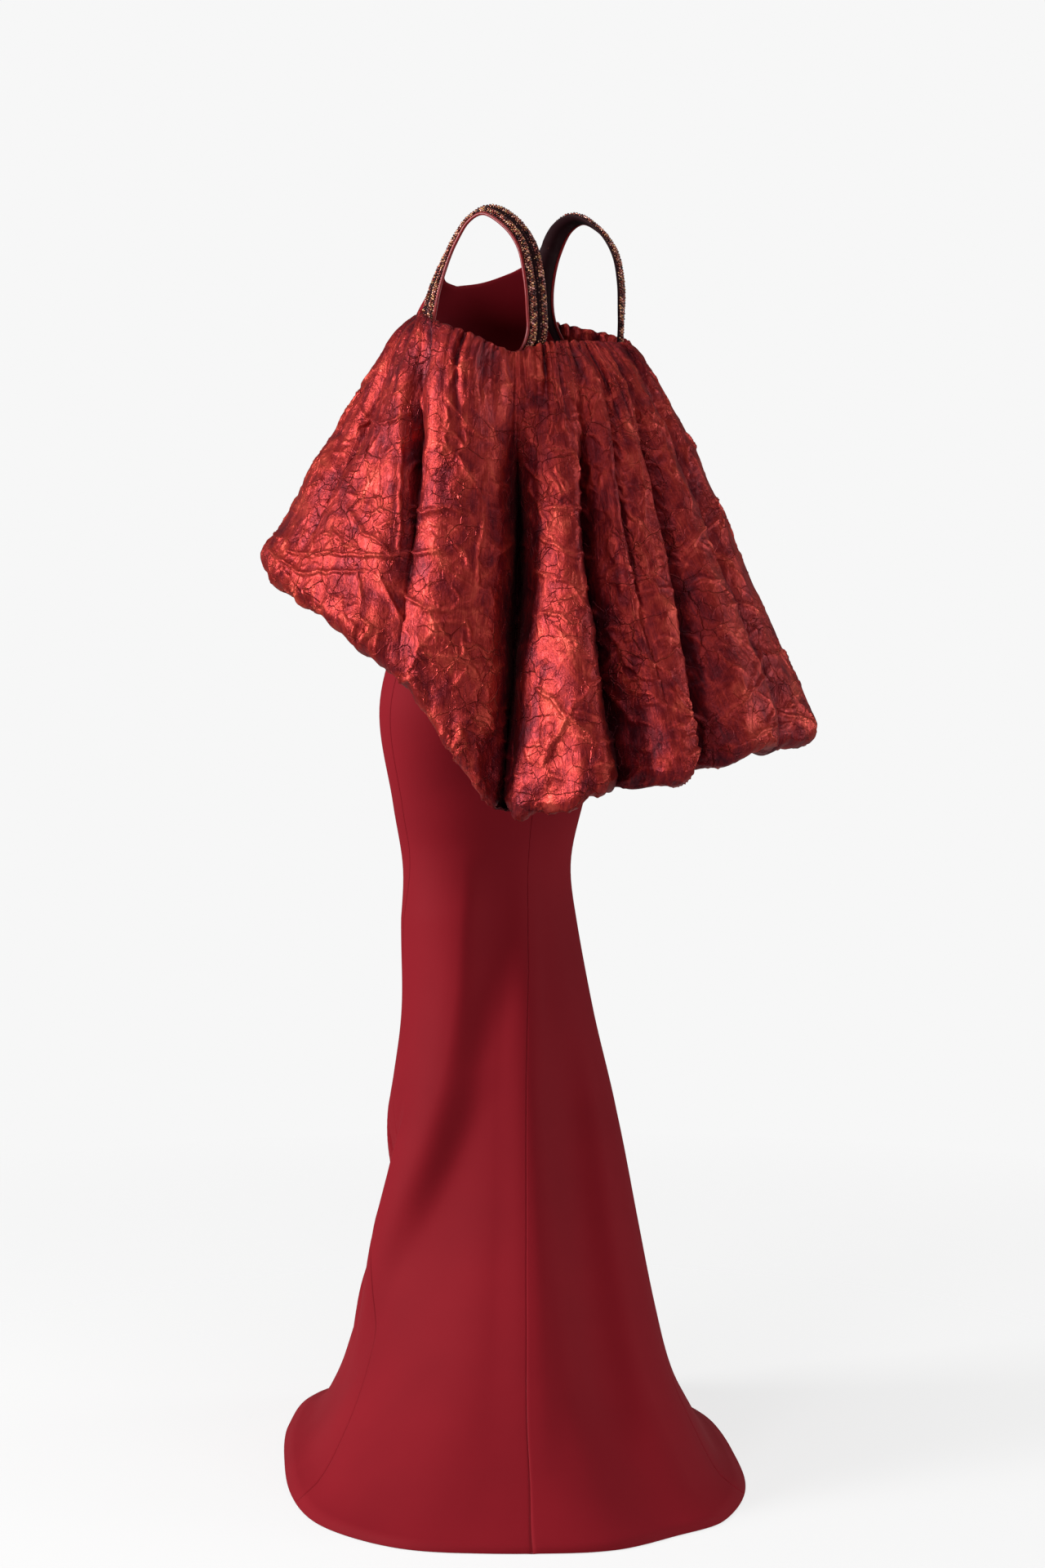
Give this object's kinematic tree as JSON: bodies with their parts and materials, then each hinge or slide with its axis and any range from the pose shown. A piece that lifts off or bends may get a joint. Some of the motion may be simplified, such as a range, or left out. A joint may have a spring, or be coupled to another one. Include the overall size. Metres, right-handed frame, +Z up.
{
  "type": "column gown with gathered cape overlay",
  "caption": "Dark crimson crepe column gown in its worn pose, with beaded armhole straps and a short crinkled taffeta cape gathered round the shoulders, its hem turned under, and a small train.",
  "frame": {"origin": "midway between the tops of the two shoulder straps, on their underside, where the wearer's shoulders hold the gown", "axes": "+Z up, the front of the shoulders faces -Y, the wearer's left is +X. The hips are turned 18 degrees to the wearer's right of the shoulders, and the train swings round to the wearer's left, as in the picture"},
  "size_m": [0.8123, 0.7647, 1.585],
  "materials": {
    "crepe": "matte dark crimson stretch crepe, smooth, with fine seams",
    "taffeta": "crinkled shot taffeta, vermilion on the lit creases and plum in the hollows, with a satin sheen",
    "beadwork": "close-set faceted crystal beads in bronze, burgundy and gold over a near-black backing",
    "satin": "red satin bias strip over a cord"
  },
  "bodies": {
    "root": {"front_panel": "crepe", "back_panel_left": "crepe", "back_panel_right": "crepe", "bead_trim_left": "beadwork", "bead_trim_right": "beadwork", "armhole_piping_left": "satin", "armhole_piping_right": "satin", "cape_left": "taffeta", "cape_back": "taffeta", "cape_right": "taffeta"}
  },
  "joints": []
}
